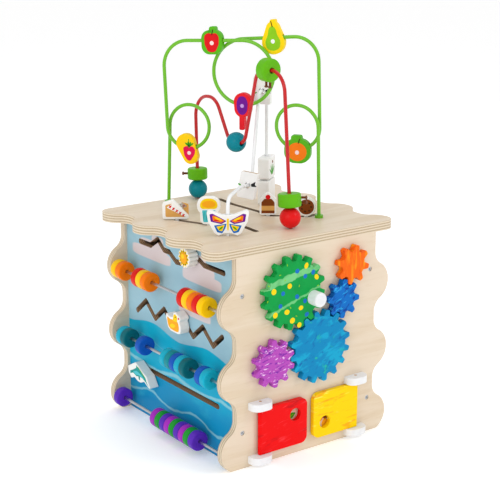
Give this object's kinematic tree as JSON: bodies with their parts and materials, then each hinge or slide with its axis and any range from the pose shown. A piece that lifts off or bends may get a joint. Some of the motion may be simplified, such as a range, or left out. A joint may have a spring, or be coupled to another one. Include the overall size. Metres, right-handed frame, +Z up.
{
  "type": "wooden bead-maze activity cube",
  "caption": "Wooden box with turning gears, small doors, figures in slots, beads on rods and a bead maze of bent wires on its top.",
  "frame": {"origin": "on the floor, under the middle of the box between its front, back and side panels", "axes": "+Z up; -Y is out of the side with the gears and doors; -X is out of the side with the bead rods; +X is to the right seen from the gear side"},
  "size_m": [0.37, 0.378, 0.6893],
  "materials": {
    "birch_plywood": "clear lacquer",
    "solid_wood": "clear lacquer",
    "sea_panel": "printed picture, satin",
    "green_paint": "painted, satin",
    "blue_paint": "painted, satin",
    "purple_paint": "painted, satin",
    "bright_blue_paint": "painted, satin",
    "orange_paint": "painted, satin",
    "red_paint": "painted, satin",
    "yellow_paint": "painted, satin",
    "teal_paint": "painted, satin",
    "white_paint": "painted with printed pictures, satin",
    "leaf_green_paint": "painted, satin",
    "green_wire": "gloss",
    "red_wire": "gloss",
    "white_wire": "gloss",
    "steel": "plain"
  },
  "bodies": {
    "cube": {"top_panel": "birch_plywood", "front_panel": "birch_plywood", "back_panel": "birch_plywood", "left_panel": "sea_panel", "right_panel": "birch_plywood", "base_panel": "birch_plywood", "top_cleats": "solid_wood", "panel_screws": "steel", "abacus_rods": "steel", "green_wire": "green_wire", "red_wire": "red_wire", "white_wire": "white_wire", "wire_flanges": "green_wire", "hinge_blocks": "white_paint", "hinge_pins": "solid_wood", "gear_pins": "solid_wood"},
    "green_wheel": {"green_gear": "green_paint", "gear_knob": "white_paint"},
    "blue_gear": {"blue_gear": "blue_paint"},
    "purple_gear": {"purple_gear": "purple_paint"},
    "small_blue_gear": {"small_blue_gear": "bright_blue_paint"},
    "orange_gear": {"orange_gear": "orange_paint"},
    "red_door": {"red_door": "red_paint"},
    "yellow_door": {"yellow_door": "yellow_paint"},
    "sun_slider": {"sun_slider": "yellow_paint"},
    "duck_slider": {"duck_slider": "yellow_paint"},
    "fish_slider": {"fish_slider": "white_paint"},
    "pie_slider": {"pie_slider": "white_paint"},
    "cupcake_slider": {"cupcake_slider": "white_paint"},
    "cake_slider": {"cake_slider": "white_paint"},
    "cookie_slider": {"cookie_slider": "white_paint"},
    "apple_tile": {"apple_tile": "leaf_green_paint"},
    "pear_tile": {"pear_tile": "yellow_paint"},
    "plum_tile": {"plum_tile": "red_paint"},
    "strawberry_tile": {"strawberry_tile": "yellow_paint"},
    "orange_tile": {"orange_tile": "leaf_green_paint"},
    "far_ball": {"far_ball": "teal_paint"},
    "far_disc": {"far_disc": "leaf_green_paint"},
    "valley_ball": {"valley_ball": "teal_paint"},
    "crest_disc": {"crest_disc": "leaf_green_paint"},
    "near_ball": {"near_ball": "red_paint"},
    "near_disc": {"near_disc": "leaf_green_paint"},
    "butterfly_tile": {"butterfly_tile": "white_paint"},
    "picture_tile": {"picture_tile": "white_paint"},
    "high_picture_tile": {"high_picture_tile": "white_paint"},
    "low_block": {"low_block": "white_paint"},
    "plant_block": {"plant_block": "white_paint"},
    "upper_near_beads": {"upper_near_beads": "orange_paint"},
    "upper_middle_beads": {"upper_middle_beads": "orange_paint"},
    "upper_far_beads": {"upper_far_beads": "yellow_paint"},
    "middle_near_beads": {"middle_near_beads": "blue_paint"},
    "middle_centre_beads": {"middle_centre_beads": "teal_paint"},
    "middle_lone_bead": {"middle_lone_bead": "bright_blue_paint"},
    "middle_far_beads": {"middle_far_beads": "teal_paint"},
    "lower_near_beads": {"lower_near_beads": "purple_paint"},
    "lower_far_bead": {"lower_far_bead": "purple_paint"}
  },
  "joints": [
    {"name": "blue_gear_spin", "type": "hinge", "parent": "cube", "child": "blue_gear", "pos_m": [0.018, -0.1795, 0.179], "axis": [0, -1, 0], "continuous": true},
    {"name": "green_gear_spin", "type": "hinge", "parent": "cube", "child": "green_wheel", "pos_m": [-0.0363, -0.1795, 0.28026], "axis": [0, -1, 0], "continuous": true},
    {"name": "purple_gear_spin", "type": "hinge", "parent": "cube", "child": "purple_gear", "pos_m": [-0.0749, -0.1795, 0.16891], "axis": [0, -1, 0], "continuous": true},
    {"name": "small_blue_gear_spin", "type": "hinge", "parent": "cube", "child": "small_blue_gear", "pos_m": [0.065, -0.1795, 0.25138], "axis": [0, -1, 0], "continuous": true},
    {"name": "orange_gear_spin", "type": "hinge", "parent": "cube", "child": "orange_gear", "pos_m": [0.08474, -0.1795, 0.3056], "axis": [0, -1, 0], "continuous": true},
    {"name": "red_door_hinge", "type": "hinge", "parent": "cube", "child": "red_door", "pos_m": [-0.099, -0.1785, 0.058], "axis": [0, 0, -1], "range_deg": [0, 170]},
    {"name": "yellow_door_hinge", "type": "hinge", "parent": "cube", "child": "yellow_door", "pos_m": [0.099, -0.1785, 0.058], "axis": [0, 0, 1], "range_deg": [0, 170]},
    {"name": "sun_slide", "type": "slide", "parent": "cube", "child": "sun_slider", "axis": [0, 0.8396, -0.5433], "range_m": [0, 0.025]},
    {"name": "duck_slide", "type": "slide", "parent": "cube", "child": "duck_slider", "axis": [0, 0.7704, -0.6376], "range_m": [0, 0.025]},
    {"name": "fish_slide", "type": "slide", "parent": "cube", "child": "fish_slider", "axis": [0, -1, 0], "range_m": [-0.005, 0.21]},
    {"name": "pie_slide", "type": "slide", "parent": "cube", "child": "pie_slider", "axis": [0.5547, 0.8321, 0], "range_m": [0, 0.022]},
    {"name": "cupcake_slide", "type": "slide", "parent": "cube", "child": "cupcake_slider", "axis": [0.6892, -0.7246, 0], "range_m": [0, 0.04]},
    {"name": "cake_slide", "type": "slide", "parent": "cube", "child": "cake_slider", "axis": [0.124, 0.9923, 0], "range_m": [0, 0.025]},
    {"name": "cookie_slide", "type": "slide", "parent": "cube", "child": "cookie_slider", "axis": [-0.744, 0.6681, 0], "range_m": [0, 0.03]},
    {"name": "apple_slide", "type": "slide", "parent": "cube", "child": "apple_tile", "axis": [0.5573, -0.8294, 0.0382], "range_m": [-0.015, 0.012]},
    {"name": "pear_slide", "type": "slide", "parent": "cube", "child": "pear_tile", "axis": [0.5562, -0.8277, 0.0738], "range_m": [-0.012, 0.015]},
    {"name": "plum_swing", "type": "hinge", "parent": "cube", "child": "plum_tile", "pos_m": [0.01567, 0.02581, 0.6005], "axis": [-0.83, -0.5577, 0], "range_deg": [-30, 0]},
    {"name": "strawberry_swing", "type": "hinge", "parent": "cube", "child": "strawberry_tile", "pos_m": [-0.03954, 0.10798, 0.504], "axis": [-0.83, -0.5577, 0], "range_deg": [-20, 20]},
    {"name": "orange_swing", "type": "hinge", "parent": "cube", "child": "orange_tile", "pos_m": [0.06894, -0.05346, 0.5145], "axis": [-0.83, -0.5577, 0], "range_deg": [-20, 20]},
    {"name": "far_ball_lift", "type": "slide", "parent": "cube", "child": "far_ball", "axis": [0, 0.0334, 0.9994], "range_m": [0, 0.03]},
    {"name": "far_disc_lift", "type": "slide", "parent": "far_ball", "child": "far_disc", "axis": [0, 0.0334, 0.9994], "range_m": [0, 0.04]},
    {"name": "valley_ball_spin", "type": "hinge", "parent": "cube", "child": "valley_ball", "pos_m": [0.004, 0.0305, 0.484], "axis": [0, 1, 0], "continuous": true},
    {"name": "crest_disc_slide", "type": "slide", "parent": "cube", "child": "crest_disc", "axis": [0, -0.9998, 0.0209], "range_m": [-0.006, 0.006]},
    {"name": "near_ball_lift", "type": "slide", "parent": "cube", "child": "near_ball", "axis": [0, 0.0819, 0.9966], "range_m": [0, 0.06]},
    {"name": "near_disc_lift", "type": "slide", "parent": "near_ball", "child": "near_disc", "axis": [0, 0.0819, 0.9966], "range_m": [0, 0.08]},
    {"name": "butterfly_swing", "type": "hinge", "parent": "cube", "child": "butterfly_tile", "pos_m": [-0.10382, -0.09803, 0.3875], "axis": [-0.0108, -0.0085, 0.9999], "range_deg": [-45, 45]},
    {"name": "picture_tile_slide", "type": "slide", "parent": "cube", "child": "picture_tile", "axis": [-0.7795, -0.6112, 0.1371], "range_m": [0, 0.03]},
    {"name": "high_picture_tile_slide", "type": "slide", "parent": "cube", "child": "high_picture_tile", "axis": [0.7868, 0.6169, 0.0204], "range_m": [-0.005, 0.005]},
    {"name": "low_block_lift", "type": "slide", "parent": "cube", "child": "low_block", "axis": [0, 0, 1], "range_m": [0, 0.045]},
    {"name": "plant_block_lift", "type": "slide", "parent": "low_block", "child": "plant_block", "axis": [0, 0, 1], "range_m": [0, 0.04]},
    {"name": "upper_near_beads_slide", "type": "slide", "parent": "cube", "child": "upper_near_beads", "axis": [0, 1, 0], "range_m": [-0.032, 0.048]},
    {"name": "upper_middle_beads_slide", "type": "slide", "parent": "cube", "child": "upper_middle_beads", "axis": [0, 1, 0], "range_m": [-0.048, 0.018]},
    {"name": "upper_far_beads_slide", "type": "slide", "parent": "cube", "child": "upper_far_beads", "axis": [0, 1, 0], "range_m": [-0.018, 0.009]},
    {"name": "middle_near_beads_slide", "type": "slide", "parent": "cube", "child": "middle_near_beads", "axis": [0, 1, 0], "range_m": [-0.027, 0.015]},
    {"name": "middle_centre_beads_slide", "type": "slide", "parent": "cube", "child": "middle_centre_beads", "axis": [0, 1, 0], "range_m": [-0.015, 0.031]},
    {"name": "middle_lone_bead_slide", "type": "slide", "parent": "cube", "child": "middle_lone_bead", "axis": [0, 1, 0], "range_m": [-0.031, 0.017]},
    {"name": "middle_far_beads_slide", "type": "slide", "parent": "cube", "child": "middle_far_beads", "axis": [0, 1, 0], "range_m": [-0.017, 0.02]},
    {"name": "lower_near_beads_slide", "type": "slide", "parent": "cube", "child": "lower_near_beads", "axis": [0, 1, 0], "range_m": [-0.063, 0.052]},
    {"name": "lower_far_bead_slide", "type": "slide", "parent": "cube", "child": "lower_far_bead", "axis": [0, 1, 0], "range_m": [-0.052, 0.007]}
  ],
  "couplings": [
    {"joint": "green_gear_spin", "follows": "blue_gear_spin", "ratio": -1},
    {"joint": "purple_gear_spin", "follows": "blue_gear_spin", "ratio": -1.6},
    {"joint": "small_blue_gear_spin", "follows": "blue_gear_spin", "ratio": -2},
    {"joint": "orange_gear_spin", "follows": "blue_gear_spin", "ratio": 2}
  ]
}
